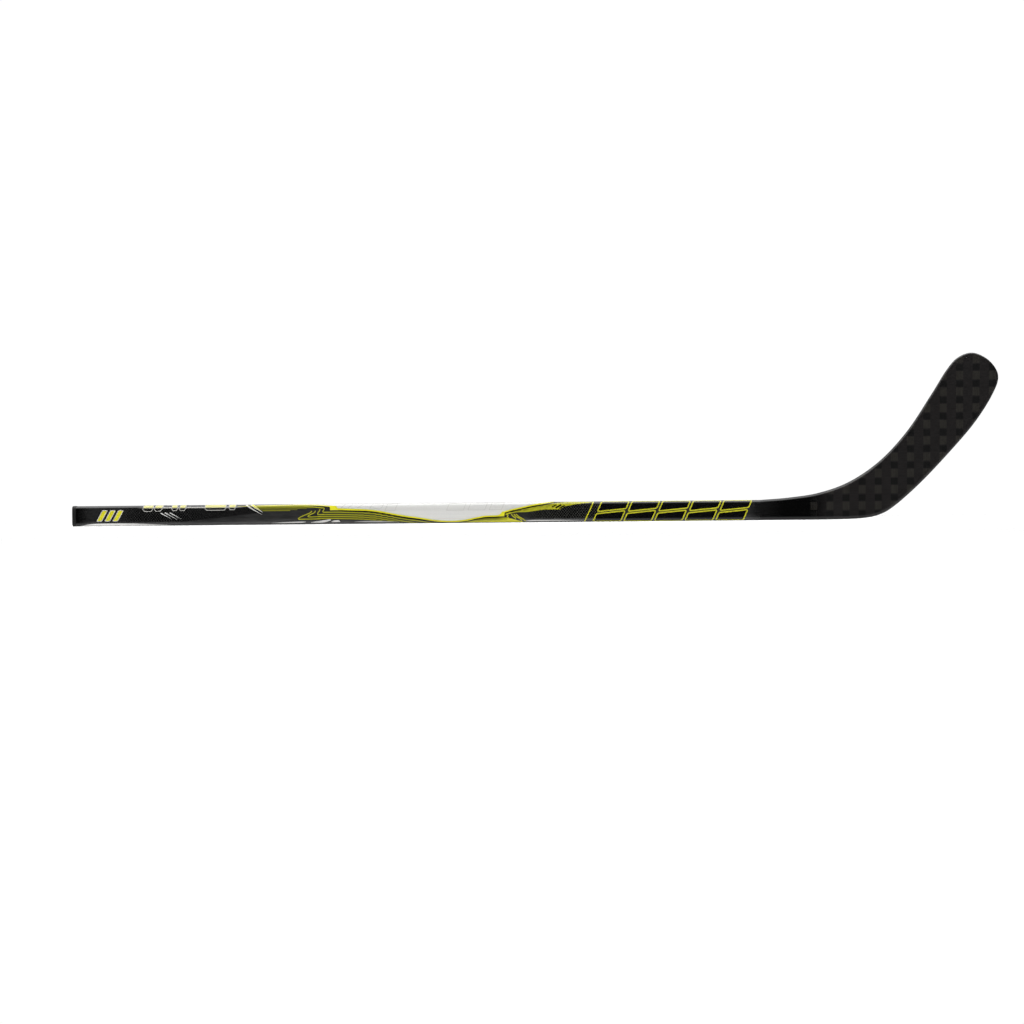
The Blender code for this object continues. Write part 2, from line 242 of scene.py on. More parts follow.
class Nodes:
    """A node tree, with short ways to add to it."""

    def __init__(self, tree, coordinates):
        self.tree = tree
        self.place = self.add("ShaderNodeTexCoord").outputs[coordinates]

    def set(self, socket, value):
        if isinstance(value, bpy.types.NodeSocket):
            self.tree.links.new(value, socket)
        elif isinstance(value, tuple) and socket.type == "RGBA":
            socket.default_value = (*value, 1.0)
        else:
            socket.default_value = value

    def add(self, kind, values=(), **settings):
        """A new node; values are those of its sockets, in order or by name or number."""
        node = self.tree.nodes.new(kind)
        for key, setting in settings.items():
            setattr(node, key, setting)
        for key, value in values.items() if isinstance(values, dict) else enumerate(values):
            self.set(node.inputs[key], value)
        return node

    def math(self, operation, *values, clamp=False):
        return self.add("ShaderNodeMath", values, operation=operation, use_clamp=clamp).outputs[0]

    def minus(self, first, other):
        return self.math("SUBTRACT", first, other)

    def times(self, first, *others):
        for other in others:
            first = self.math("MULTIPLY", first, other)
        return first

    def split(self):
        """The coordinates x, y and z."""
        return self.add("ShaderNodeSeparateXYZ", (self.place,)).outputs

    def noise(self, scale, detail=2.0, vector=None):
        values = {"Vector": vector or self.place, "Scale": scale, "Detail": detail}
        return self.add("ShaderNodeTexNoise", values).outputs["Fac"]

    def strands(self, scale, detail=3.0, turn=0.0):
        """Noise with its own scale along X, Y and Z, turned about Y."""
        values = {"Vector": self.place, "Scale": scale, "Rotation": (0.0, turn, 0.0)}
        return self.noise(1.0, detail, self.add("ShaderNodeMapping", values).outputs[0])

    def wave(self, length, pitch):
        return self.math("COSINE", self.times(length, 2 * math.pi / pitch))

    def remap(self, value, low, high, to_low=0.0, to_high=1.0, smooth=True):
        values = (value, low, high, to_low, to_high)
        kind = "SMOOTHSTEP" if smooth else "LINEAR"
        return self.add("ShaderNodeMapRange", values, interpolation_type=kind).outputs[0]

    def spread(self, noise, to_low, to_high, smooth=True):
        """Most of a noise's range, spread from one number to another."""
        return self.remap(noise, 0.3, 0.7, to_low, to_high, smooth)

    def fade(self, place, start, end, to_low=0.0, to_high=1.0, smooth=True):
        """A change from start to end, which are in millimetres."""
        return self.remap(place, start * MM, end * MM, to_low, to_high, smooth)

    def ramp(self, factor, stops):
        """Colours along a factor: stops are (position, (r, g, b))."""
        node = self.add("ShaderNodeValToRGB", (factor,))
        elements = node.color_ramp.elements
        while len(elements) < len(stops):
            elements.new(0.5)
        for element, (position, colour) in zip(elements, stops):
            element.position = position
            element.color = (*colour, 1.0)
        return node.outputs[0]

    def mix(self, factor, a, b, blend="MIX"):
        values = {0: factor, 6: a, 7: b}
        return self.add("ShaderNodeMix", values, data_type="RGBA", blend_type=blend).outputs[2]

    def shaded(self, colour, level):
        """The colour multiplied by a number."""
        shade = self.add("ShaderNodeCombineColor", (level, level, level)).outputs[0]
        return self.mix(1.0, colour, shade, "MULTIPLY")

    def bump(self, height, strength, distance):
        """A bump whose distance is in millimetres."""
        values = {"Height": height, "Strength": strength, "Distance": distance * MM}
        return self.add("ShaderNodeBump", values).outputs[0]


class Finish(Nodes):
    """The node tree of one material, with a Principled shader."""

    def __init__(self, name, roughness, coat=0.0, coat_roughness=0.05, metallic=0.0, specular=0.5):
        self.material = bpy.data.materials.new(name)
        self.material.use_nodes = True
        super().__init__(self.material.node_tree, "Object")
        self.shader = self.tree.nodes["Principled BSDF"]
        self.use("Roughness", roughness)
        self.use("Metallic", metallic)
        self.use("Coat Weight", coat)
        self.use("Coat Roughness", coat_roughness)
        self.use("Specular IOR Level", specular)

    def use(self, socket, value):
        self.set(self.shader.inputs[socket], value)

    def on_stick(self):
        """Length from the butt, depth and height."""
        x, y, z = self.split()
        return self.minus(x, BUTT_X), y, z


def grey(level):
    return (level, level, level)


def clear_coat_bump(nodes):
    """The slight orange peel of a sprayed clear coat."""
    nodes.use("Coat Normal", nodes.bump(nodes.noise(260.0), 0.10, 0.05))


def laminate_material():
    """Black laminate under clear coat, with the printed dot screen of the two grip zones."""
    nodes = Finish("gloss_black_laminate", roughness=0.42, coat=1.0, coat_roughness=0.035, specular=0.05)
    s, y, z = nodes.on_stick()

    # Plain black, darkest at the two ends, with a painted highlight: paler along the lower corner near the
    # butt, where the coat reflects the floor.
    plain = nodes.ramp(nodes.math("DIVIDE", s, WRAP_END), (
        (0.000, grey(0.001)), (0.0100, grey(0.001)), (0.0155, grey(0.007)), (0.022, grey(0.0155)),
        (0.030, grey(0.019)), (0.065, grey(0.0175)), (0.100, grey(0.0135)), (0.180, grey(0.014)),
        (0.260, grey(0.030)), (0.980, grey(0.030)), (0.992, grey(0.010)), (1.000, grey(0.007)),
    ))
    # Painted highlight: strength and reach set how far up and how much the lower corner is lifted.
    strength = nodes.times(nodes.fade(s, 60, 110, 1.7, 2.4), nodes.fade(s, 130, 190, 1.0, 0.38))
    reach = nodes.fade(s, 90, 190, 7.5 * MM, 10.0 * MM)
    corner = nodes.math("MULTIPLY_ADD", strength, nodes.remap(z, 4.5 * MM, reach, 1.0, 0.0), 1.0)
    plain = nodes.shaded(plain, corner)

    # The dot screen: pale spots on black.
    round_section = nodes.minus(z, nodes.math("ABSOLUTE", y))
    screen = nodes.times(nodes.wave(s, 3.4 * MM), nodes.wave(round_section, 4.2 * MM))
    dots = nodes.remap(screen, 0.05, 0.60)
    spot = nodes.ramp(nodes.fade(s, 580, 640, smooth=False), (
        (0.0, (0.070, 0.071, 0.062)), (1.0, (0.050, 0.050, 0.045)),
    ))
    spot = nodes.mix(nodes.fade(s, 400, 410), grey(0.030), spot)
    dotted = nodes.mix(dots, grey(0.0015), spot)

    # Where it is: above a rising line near the butt, and above the corner before the lower graphic.
    rising_line = nodes.fade(s, 150, 246, 5 * MM, 15.5 * MM, smooth=False)
    above = nodes.minus(z, rising_line)
    butt_zone = nodes.times(nodes.fade(s, 45, 105), nodes.fade(s, 250, 249), nodes.fade(above, -0.3, 0.9))
    low_zone = nodes.times(nodes.fade(s, 578, 610), nodes.fade(s, 690, 688), nodes.fade(z, 4.2, 6.2))
    colour = nodes.mix(nodes.math("ADD", butt_zone, low_zone, clamp=True), plain, dotted)

    fibres = nodes.strands((60.0, 900.0, 900.0))
    mottled = nodes.mix(nodes.remap(fibres, 0.35, 0.7, 0.0, 0.35), colour, grey(0.002), "MULTIPLY")
    nodes.use("Base Color", mottled)
    nodes.use("Roughness", nodes.spread(nodes.noise(40.0, 3.0), 0.34, 0.52))
    nodes.use("Normal", nodes.bump(dots, 0.25, 0.03))
    clear_coat_bump(nodes)
    return nodes.material


def printed_material(name, stops, roughness=0.38, grain=0.05, metallic=0.0):
    """Printed film under clear coat; the tone attribute picks the colour, with a fine ink grain."""
    nodes = Finish(name, roughness, coat=1.0, coat_roughness=0.035, metallic=metallic, specular=0.05)
    tone = nodes.add("ShaderNodeAttribute", attribute_name="tone").outputs["Fac"]
    ink = nodes.ramp(nodes.math("DIVIDE", tone, HIGHLIGHT_TONE), [(at / HIGHLIGHT_TONE, colour) for at, colour in stops])
    speckle = nodes.spread(nodes.noise(1400.0), 1.0 - grain, 1.0 + grain, smooth=False)
    lines = nodes.strands((9.0, 700.0, 700.0), 2.0)
    drift = nodes.remap(lines, 0.25, 0.75, 1.0 - grain, 1.0 + grain * 0.6, smooth=False)
    nodes.use("Base Color", nodes.shaded(ink, nodes.times(speckle, drift)))
    nodes.use("Roughness", nodes.spread(nodes.noise(60.0), roughness - 0.06, roughness + 0.08))
    clear_coat_bump(nodes)
    return nodes.material


def carbon_material():
    """Spread-tow carbon under a satin coat: light and dark squares between even columns."""
    nodes = Finish("carbon_weave", roughness=0.45, coat=0.55, coat_roughness=0.16, specular=0.12)
    s, y, z = nodes.on_stick()
    pitch = 21.2 * MM

    def cell(place, start):
        """Position within one pitch of the weave, from 0 to 1."""
        return nodes.math("FRACT", nodes.math("DIVIDE", nodes.minus(place, start * MM), pitch))

    def inside(value, start, end, soft=0.02):
        rise = nodes.remap(value, start - soft, start + soft)
        return nodes.times(rise, nodes.remap(value, end + soft, end - soft))

    column = cell(nodes.math("MULTIPLY_ADD", z, -0.0105, s), 967.9)
    row = cell(z, 12.0)
    in_column = inside(column, 0.04, 0.47)
    begun = nodes.fade(s, 955, 985)
    light = nodes.times(in_column, inside(row, 0.04, 0.54), begun)
    dark = nodes.times(in_column, inside(row, 0.58, 0.97), begun)

    # The fibres run along Z in the columns of squares and along X between them.
    along, upright = nodes.strands((40.0, 1500.0, 1500.0)), nodes.strands((1500.0, 1500.0, 40.0))
    fibre = nodes.mix(in_column, along, upright)

    # Black paint over the hosel, which thins out until the bare weave shows.
    ground = nodes.ramp(nodes.math("DIVIDE", nodes.minus(s, WRAP_END), 100 * MM), (
        (0.00, grey(0.006)), (0.30, grey(0.0006)), (0.70, grey(0.0006)), (0.96, (0.0125, 0.0112, 0.0112)),
    ))
    colour = nodes.mix(light, ground, (0.0210, 0.0195, 0.0170))
    colour = nodes.mix(dark, colour, (0.0052, 0.0052, 0.0052))
    nodes.use("Base Color", nodes.shaded(colour, nodes.spread(fibre, 0.78, 1.22, smooth=False)))
    painted = 0.12
    woven = nodes.math("MULTIPLY_ADD", dark, 0.08, nodes.remap(light, 0.0, 1.0, 0.46, 0.38))
    bare = nodes.fade(s, 960, 1000)
    nodes.use("Roughness", nodes.math("MULTIPLY_ADD", nodes.minus(woven, painted), bare, painted))
    nodes.use("Normal", nodes.bump(fibre, 0.18, 0.03))
    nodes.use("Coat Normal", nodes.bump(nodes.noise(420.0), 0.12, 0.05))
    return nodes.material


def rubber_material():
    nodes = Finish("cap_rubber", roughness=0.55, specular=0.4)
    mottle = nodes.noise(90.0, 4.0)
    nodes.use("Base Color", nodes.ramp(mottle, ((0.3, grey(0.006)), (0.7, grey(0.013)))))
    nodes.use("Roughness", nodes.spread(mottle, 0.42, 0.62))
    nodes.use("Normal", nodes.bump(nodes.noise(2200.0, 3.0), 0.30, 0.05))
    return nodes.material


def foam_material(name, light, dark):
    nodes = Finish(name, roughness=0.9, specular=0.3)
    cells = nodes.add("ShaderNodeTexVoronoi", {"Vector": nodes.place, "Scale": 900.0})
    distance = cells.outputs["Distance"]
    nodes.use("Base Color", nodes.ramp(distance, ((0.1, dark), (0.6, light))))
    nodes.use("Normal", nodes.bump(distance, 0.5, 0.2))
    return nodes.material


def moulded_material():
    nodes = Finish("hosel_composite", roughness=0.55)
    flakes = nodes.strands((160.0, 600.0, 600.0), 4.0, 0.4)
    nodes.use("Base Color", nodes.ramp(flakes, ((0.35, grey(0.020)), (0.65, grey(0.060)))))
    nodes.use("Normal", nodes.bump(flakes, 0.2, 0.1))
    return nodes.material


def tow_material():
    nodes = Finish("carbon_tow", roughness=0.4)
    strands = nodes.strands((60.0, 1600.0, 1600.0), turn=0.8)
    nodes.use("Base Color", nodes.ramp(strands, ((0.3, grey(0.006)), (0.7, grey(0.022)))))
    nodes.use("Roughness", nodes.spread(strands, 0.32, 0.5))
    nodes.use("Normal", nodes.bump(strands, 0.3, 0.05))
    return nodes.material


# The pale lime is a painted highlight: lime made pale where the upper corner catches and reflects the
# overhead light.
LIME_PAINTED_HIGHLIGHT = (0.64, 0.61, 0.22)
LIME = (0.76, 0.72, 0.030)
LIME_FACE = (0.50, 0.49, 0.022)
OLIVE = (0.20, 0.20, 0.014)
PRINT_DARK = (0.030, 0.030, 0.024)
WHITE = (0.700, 0.698, 0.682)
HIGHLIGHT_TONE = 1.25  # tone of the pale lime, the highest of all tones

LAMINATE = laminate_material()
CARBON = carbon_material()
LIME_INK = printed_material("lime_print", (
    (0.0, PRINT_DARK), (0.35, OLIVE), (0.7, LIME_FACE), (1.0, LIME), (HIGHLIGHT_TONE, LIME_PAINTED_HIGHLIGHT),
))
WHITE_INK = printed_material("white_print", ((0.0, (0.42, 0.42, 0.39)), (1.0, WHITE)), grain=0.045)
SILVER_INK = printed_material("silver_print", ((0.0, grey(0.03)), (1.0, (0.56, 0.55, 0.52))), 0.3)
SILVER_FOIL = printed_material(
    "silver_foil", ((0.0, grey(0.03)), (1.0, (0.90, 0.89, 0.87))), 0.32, metallic=0.9)
BLACK_INK = printed_material("black_print", ((0.0, grey(0.002)), (1.0, grey(0.0035))))


# ================================================================ shapes on the unrolled shaft
# A flat shape is a bmesh in the plane of s (x) and perimeter position (y), both in metres, with the
# tone kept in z until the shape is wrapped round the shaft.

def layout(points):
    """(s, h) in millimetres to (s, perimeter) in metres."""
    return [(s * MM, perimeter_of(height)) for s, height in points]


def smooth(points, steps):
    """Catmull-Rom curve through 2D points."""
    points = [Vector(p) for p in points]
    ends = [2 * points[0] - points[1]] + points + [2 * points[-1] - points[-2]]
    curve = []
    for before, start, end, after in zip(ends, ends[1:], ends[2:], ends[3:]):
        for step in range(steps):
            t = step / steps
            curve.append(0.5 * (
                2 * start + (end - before) * t
                + (2 * before - 5 * start + 4 * end - after) * t ** 2
                + (3 * start - before - 3 * end + after) * t ** 3
            ))
    curve.append(points[-1])
    return curve


def offset(points, distance, closed):
    """The line moved sideways, with mitred corners."""
    points = [Vector(p) for p in points]
    moved = []
    count = len(points)
    for i, point in enumerate(points):
        before = points[i - 1] if closed or i > 0 else None
        after = points[(i + 1) % count] if closed or i < count - 1 else None
        normals = []
        for a, b in ((before, point), (point, after)):
            if a is not None and b is not None and (b - a).length > 1e-9:
                along = (b - a).normalized()
                normals.append(Vector((-along.y, along.x)))
        normal = sum(normals, Vector((0.0, 0.0))).normalized()
        stretch = min(1.0 / max(normal.dot(normals[0]), 0.35), 2.2)
        moved.append(point + normal * distance * stretch)
    return moved


def add_band(bm, lines, tones, closed=False):
    """Faces between lines of equal length, each with one tone or with a list of them."""
    rows = []
    for line, tone in zip(lines, tones):
        values = tone if isinstance(tone, list) else [tone] * len(line)
        rows.append([bm.verts.new((p[0], p[1], value)) for p, value in zip(line, values)])
    join_lines(bm, rows, closed)


def add_stroke(bm, points, width, tone, closed=False):
    half = width * MM / 2
    add_band(bm, [offset(points, -half, closed), offset(points, half, closed)], [tone, tone], closed)


def add_polygon(bm, points, tone=1.0):
    face = bm.faces.new([bm.verts.new((p[0], p[1], tone)) for p in points])
    bmesh.ops.triangulate(bm, faces=[face])


def cut_at_corners(bm):
    """Edges along the rounded corners, so that the shape can bend round them."""
    lines = [FLAT + ARC * k / 10 for k in range(11)]
    for v in [-line for line in lines] + lines:
        geometry = bm.verts[:] + bm.edges[:] + bm.faces[:]
        bmesh.ops.bisect_plane(bm, geom=geometry, dist=1e-7, plane_co=(0, v, 0), plane_no=(0, 1, 0))


UNDERSIDE = 0.02 * MM  # clear of the shaft's skin
LAYER = 0.07 * MM  # from one film to the next over it
FILM = 0.05 * MM  # a film's thickness
REGISTER = 0.5 * MM  # the prints sit this much nearer the butt than they are laid out


def wrap(name, bm, layer, ink):
    """Wraps a flat shape round the shaft as a thin solid film, on the front and, mirrored, the back."""
    bmesh.ops.remove_doubles(bm, verts=bm.verts, dist=1e-6)
    cut_at_corners(bm)
    bmesh.ops.triangulate(bm, faces=[f for f in bm.faces if len(f.verts) > 4])
    low = UNDERSIDE + LAYER * (layer - 1)
    numbers, tops, bottoms, tones, faces = {}, [], [], [], []
    for back in (False, True):
        for face in bm.faces:
            corners = []
            for vertex in face.verts:
                s, v, tone = vertex.co
                s -= REGISTER
                top = on_shaft(s, v, low + FILM, back)
                key = tuple(round(c, 7) for c in top)
                if key not in numbers:
                    numbers[key] = len(tops)
                    tops.append(top)
                    bottoms.append(on_shaft(s, v, low, back))
                    tones.append(tone)
                if numbers[key] not in corners:
                    corners.append(numbers[key])
            if len(corners) > 2:
                faces.append(corners)
    bm.free()

    solid = bmesh.new()
    tone_layer = solid.verts.layers.float.new("tone")
    upper = [solid.verts.new(p) for p in tops]
    lower = [solid.verts.new(p) for p in bottoms]
    for vertices in (upper, lower):
        for vertex, tone in zip(vertices, tones):
            vertex[tone_layer] = tone
    sheet = []
    for corners in faces:
        try:
            sheet.append(solid.faces.new([upper[i] for i in corners]))
        except ValueError:  # a face of the ridge that the other side already has
            continue
    bmesh.ops.recalc_face_normals(solid, faces=sheet)
    for face in sheet:
        middle = face.calc_center_median()
        if face.normal.dot(middle - Vector((middle.x, 0.0, WIDTH / 2))) < 0:
            face.normal_flip()
    solid.verts.index_update()
    rim = []
    for edge in [e for e in solid.edges if len(e.link_faces) == 1]:
        loop = edge.link_loops[0]
        rim.append((loop.vert.index, loop.link_loop_next.vert.index))
    for face in sheet:
        solid.faces.new([lower[v.index] for v in reversed(face.verts[:])])
    for a, b in rim:
        solid.faces.new((upper[b], upper[a], lower[a], lower[b]))
    mesh = bpy.data.meshes.new(name)
    solid.to_mesh(mesh)
    solid.free()
    mesh.shade_smooth()
    true_normals(mesh)
    add_piece(mesh, ink)


# ================================================================ shaft, joint and cap

def add_sleeve(name, profile, replaced):
    """A laminate sleeve round the shaft; its profile's points are (s, distance inwards)."""
    mesh = loft(name, [shaft_ring(s, inset) for s, inset in profile], closed=True)
    true_normals(mesh)
    add_piece(mesh, LAMINATE, replaced)


def make_shaft():
    """The tube in three lengths that meet end to end."""
    third = (TUBE_END - TUBE_START) / 3
    cuts = [TUBE_START - CAP_GAP, TUBE_START + third, TUBE_START + 2 * third, TUBE_END]
    for name, start, end in zip(("upper", "middle", "lower"), cuts, cuts[1:]):
        profile = [(start, 0.0), ((start + end) / 2, 0.0)]
        if end == TUBE_END:
            profile += [(WRAP_START, 0.0), (WRAP_START, REBATE), (end, REBATE)]
        else:
            profile.append((end, 0.0))
        add_sleeve(f"shaft_skin_{name}", profile + [(end, WALL), (start, WALL)], "shaft_tube")


def make_overwrap():
    """The sleeve over the joint, feathered out on the shaft so that no edge shows.

    It stays under the printed films, which run over it.
    """
    begin = WRAP_START - 9 * MM
    proud = 0.012 * MM
    thickness = 0.8 * MM
    add_sleeve("joint_overwrap", (
        (begin, -proud / 2), (begin + 3 * MM, -proud), (WRAP_END, -proud), (WRAP_END, thickness),
        (WRAP_START, thickness), (WRAP_START, -proud / 4), (begin, -proud / 4),
    ), "joint_wrap")


def make_cap():
    """Rubber cap with a rounded head, a shallow dish in its end and a ribbed plug."""
    plug_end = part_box("end_cap")[1].x - BUTT_X
    head = TUBE_START - CAP_GAP
    proud, rounding = 0.4 * MM, 1.8 * MM
    stem, crest = 3.4 * MM, 2.45 * MM  # how far in from the shaft's surface
    ribs, rib_length = 5, 2.8 * MM
    profile = [(1.0 * MM, 6.2 * MM), (1.0 * MM, 5.2 * MM), (0.7 * MM, 4.6 * MM), (0.12 * MM, 4.0 * MM)]
    profile += [(0.0, 3.6 * MM), (0.0, rounding - proud)]
    for step in range(1, 9):
        angle = math.pi / 2 * step / 8
        profile.append((rounding * (1 - math.cos(angle)), rounding * (1 - math.sin(angle)) - proud))
    profile += [(head - 0.3 * MM, -proud), (head, -proud + 0.3 * MM), (head, stem)]
    pitch = (plug_end - head) / (ribs + 0.5)
    for number in range(ribs):
        start = head + pitch * (number + 0.6)
        for share, height in ((0.0, 0.0), (0.25, 0.75), (0.5, 1.0), (0.75, 0.75), (1.0, 0.0)):
            profile.append((start + rib_length * share, stem + (crest - stem) * height))
    chamfer = 0.8 * MM
    profile += [(plug_end - chamfer, stem), (plug_end, stem + chamfer)]
    rings = []
    for s, inset in profile:
        rings.append([(x, y, max(z, 0.0)) for x, y, z in shaft_ring(s, inset)])
    mesh = loft("end_cap_moulding", rings)
    mesh.set_sharp_from_angle(angle=math.radians(50))
    add_piece(mesh, rubber_material(), "end_cap", "cap")


# ================================================================ blade

def lengths_along(curve):
    total = [0.0]
    for a, b in zip(curve, curve[1:]):
        total.append(total[-1] + (b - a).length)
    return total


def point_at(curve, lengths, distance):
    distance = min(max(distance, 0.0), lengths[-1])
    for index in range(1, len(curve)):
        if lengths[index] >= distance:
            span = lengths[index] - lengths[index - 1]
            return curve[index - 1].lerp(curve[index], (distance - lengths[index - 1]) / span)
    return curve[-1]


OUTLINE = smooth(LOWER_EDGE + (TOE_TIP,) + tuple(reversed(UPPER_EDGE)), EDGE_STEPS)
TIP_INDEX = len(LOWER_EDGE) * EDGE_STEPS
CENTRE = smooth(CENTRE_LINE, EDGE_STEPS)
CENTRE_LENGTHS = lengths_along(CENTRE)
CENTRE_START = CENTRE_LINE[1][0] - CENTRE_LINE[0][0]
DEPTH_CURVE = smooth(BLADE_DEPTH, 8)


def inward(index):
    """Direction into the blade from a point of its outline."""
    before = OUTLINE[max(index - 1, 0)]
    after = OUTLINE[min(index + 1, len(OUTLINE) - 1)]
    along = (after - before).normalized()
    if index in (0, len(OUTLINE) - 1):
        along.y = 0.0
        along.normalize()
    return Vector((-along.y, along.x))


def along_and_across(point):
    """Distance along the centre line from the wrap, and height above that line."""
    nearest = None
    for index in range(len(CENTRE) - 1):
        start, end = CENTRE[index], CENTRE[index + 1]
        span = end - start
        share = (point - start).dot(span) / span.length_squared
        if index > 0:
            share = max(share, 0.0)
        if index < len(CENTRE) - 2:
            share = min(share, 1.0)
        distance = (point - start - span * share).length
        if nearest is None or distance < nearest[0]:
            side = span.x * (point - start).y - span.y * (point - start).x
            along = CENTRE_LENGTHS[index] + share * span.length - CENTRE_START
            nearest = (distance, along, math.copysign(distance, side))
    return nearest[1], nearest[2]


def value_on(curve, x):
    """Height of a curve that runs left to right, at x."""
    if x <= curve[0][0]:
        return curve[0][1]
    for a, b in zip(curve, curve[1:]):
        if x <= b[0]:
            return a[1] + (b[1] - a[1]) * (x - a[0]) / max(b[0] - a[0], 1e-9)
    return curve[-1][1]


def ease(t):
    t = min(max(t, 0.0), 1.0)
    return t * t * (3 - 2 * t)


def blade_point(point, share):
    """A point of the blade: share runs from -1 on the front face to 1 on the back face."""
    along, across = along_and_across(point)
    t = max((along - BOW_START) / BOW_LENGTH, 0.0)
    bow = -BOW_DEPTH * t ** 2 + across * math.sin(FACE_OPEN) * ease(t)
    return Vector((BUTT_X + point.x, share * value_on(DEPTH_CURVE, along) / 2 + bow, point.y))


def make_blade_face(name, side, replaced):
    """One carbon face with its laminate thickness, between the two halves of the rim."""
    moved = [point + inward(i) * RAIL_WIDTH for i, point in enumerate(OUTLINE)]
    edges = (moved[:TIP_INDEX + 1], moved[TIP_INDEX:][::-1])
    lengths = [lengths_along(edge) for edge in edges]
    surface = []
    for number in range(STATIONS + 1):
        part = number / STATIONS
        low, high = (point_at(edge, run, part * run[-1]) for edge, run in zip(edges, lengths))
        surface.append([blade_point(low.lerp(high, step / ROWS), side) for step in range(ROWS + 1)])
    bm = bmesh.new()
    rims = []
    for depth in (0.0, side * SKIN):
        inner = Vector((0.0, depth, 0.0))
        grid = [[bm.verts.new(point - inner) for point in row] for row in surface]
        join_rows(bm, grid)
        first, last = [row[0] for row in grid], [row[-1] for row in grid]
        rims.append(first + grid[-1][1:-1] + last[::-1] + grid[0][1:-1][::-1])
    join_lines(bm, rims)
    bmesh.ops.remove_doubles(bm, verts=bm.verts, dist=1e-6)
    bmesh.ops.dissolve_degenerate(bm, dist=1e-6, edges=bm.edges)
    mesh = finish_mesh(name, bm)
    add_piece(mesh, CARBON, replaced)


def make_blade_rim():
    """The carbon rail round the blade's edge, with its rounded outer side."""
    rings = []
    for index, start in enumerate(OUTLINE):
        inner = inward(index)
        along = along_and_across(start)[0]
        depth = value_on(DEPTH_CURVE, along)
        corner = min(CORNER, depth * 0.46)
        section = [(RAIL_WIDTH, -1.0)]
        for step in range(ARC_STEPS + 1):
            angle = math.pi / 2 * step / ARC_STEPS
            from_face = corner * (1 - math.cos(angle))
            section.append((corner * (1 - math.sin(angle)), -1.0 + 2 * from_face / depth))
        section += [(inset, -share) for inset, share in reversed(section)]
        rings.append([blade_point(start + inner * inset, share) for inset, share in section])
    mesh = loft("blade_edge_rim", rings)
    add_piece(mesh, CARBON, "blade_edge_rail")


# ================================================================ graphics
# All points are (s, h) in millimetres: length from the butt, height above the lower edge.

def line(points, steps=6):
    return smooth(layout(points), steps)


BOUNDARY = line((
    (339.1, 19.6), (350, 19.6), (371.5, 18.8), (385, 18.2), (398, 16.9), (412, 14.5), (425, 11.9),
    (438.5, 9.5), (452, 7.6), (465, 5.5), (477, 3.6), (496, 2.3), (514.5, 3.4), (531, 6.5), (543, 8.5),
    (556, 8.8), (561, 9.6), (565.5, 12.8), (570, 14.6), (578, 16.8), (588.4, 19.0), (604.8, 22.5),
    (613, 23.8), (621, 24.9), (634, 26.5),
))
HIGHLIGHT = line((
    (218, 24.4), (236, 24.7), (262, 25.1), (291, 25.5), (316, 25.3), (330, 24.4), (339.5, 23.4),
))
LOWEST_STRIPE = line(((322, 7.3), (362, 7.3), (395, 6.0), (429, 3.2), (457, 2.1), (500, 1.0)))


def raised(curve, heights):
    """The curve with each of its points moved up by a height in millimetres."""
    return [Vector((point.x, point.y + height * MM)) for point, height in zip(curve, heights)]


def below(curve, distance):
    return raised(curve, [-distance] * len(curve))


def beside(curve, halves):
    """The two lines beside a curve, at each point's own half width in millimetres."""
    aside = offset(curve, MM, False)
    return [[p + (q - p) * side * half for p, q, half in zip(curve, aside, halves)] for side in (-1, 1)]


def part_of(curve, start, end):
    return [point for point in curve if start * MM <= point.x <= end * MM]


def spaced(start, end, step):
    count = max(int(round((end - start) / step)), 1)
    return [(start + (end - start) * i / count) * MM for i in range(count + 1)]


def tone_sheet(bm, stations, lower, upper, rows, tone):
    """A fine grid between two heights, each vertex with the tone of its place."""
    grid = []
    for s in spaced(*stations):
        low, high = lower(s), upper(s)
        heights = [low + (high - low) * step / rows for step in range(rows + 1)]
        grid.append([bm.verts.new((s, v, tone(s, v))) for v in heights])
    join_rows(bm, grid)


def make_white_panel():
    left = part_of(HIGHLIGHT, 290, 339)
    join = [Vector(point) for point in layout(((347.5, 23.8), (349, 19.8)))]
    lower = left + join + part_of(BOUNDARY, 349.2, 640)
    stripe = perimeter_of(18.6)

    def tone(s, v):
        """A slightly greyer stripe runs along the panel above its middle."""
        return 1.0 - 0.22 * ease(1 - abs(v - stripe) / (4.5 * MM))

    bm = bmesh.new()
    tone_sheet(bm, (290.5, 633.5, 1.5), lambda s: value_on(lower, s), lambda s: RIDGE, 14, tone)
    wrap("print_white_panel", bm, 1, WHITE_INK)

    bm = bmesh.new()
    for start, run in ((353.4, 6.2), (362.6, 6.2), (374.6, 9.0)):
        add_stroke(bm, layout(((start, 20.8), (start + run, 25.6))), 0.55, 0.25)
    for start, width in ((391, 15), (411, 13), (492, 22), (520, 22), (548, 16)):
        foot, top, lean = max(17.0, value_on(BOUNDARY, start * MM) / MM + 15.5), 25.8, 4
        outline = ((start, foot), (start + width, foot), (start + width + lean, top), (start + lean, top))
        add_stroke(bm, layout(outline), 0.5, 0.30, closed=True)
    wrap("print_panel_hairlines", bm, 2, WHITE_INK)


def make_boundary():
    bm = bmesh.new()
    count = len(BOUNDARY)
    lower, upper = beside(BOUNDARY, [(2.3 - 0.5 * ease(i / (count * 0.25))) / 2 for i in range(count)])
    add_band(bm, [lower, BOUNDARY, upper], [0.88, 1.0, 0.92])
    wrap("print_boundary_line", bm, 5, LIME_INK)

    bm = bmesh.new()
    for block in (
        ((339.1, 18.4), (349.3, 18.4), (350.2, 19.8), (347.0, 23.9), (339.1, 24.3)),
        ((558.0, 8.3), (567.6, 8.3), (568.4, 14.9), (564.8, 14.5), (562.2, 10.8)),
    ):
        add_polygon(bm, layout(block))
    wrap("print_boundary_block", bm, 6, LIME_INK)

    bm = bmesh.new()
    shadow = part_of(BOUNDARY, 349, 612)
    add_band(bm, [below(shadow, 2.2), below(shadow, 0.6)], [0.5, 0.0])
    wrap("print_boundary_shadow", bm, 4, BLACK_INK)


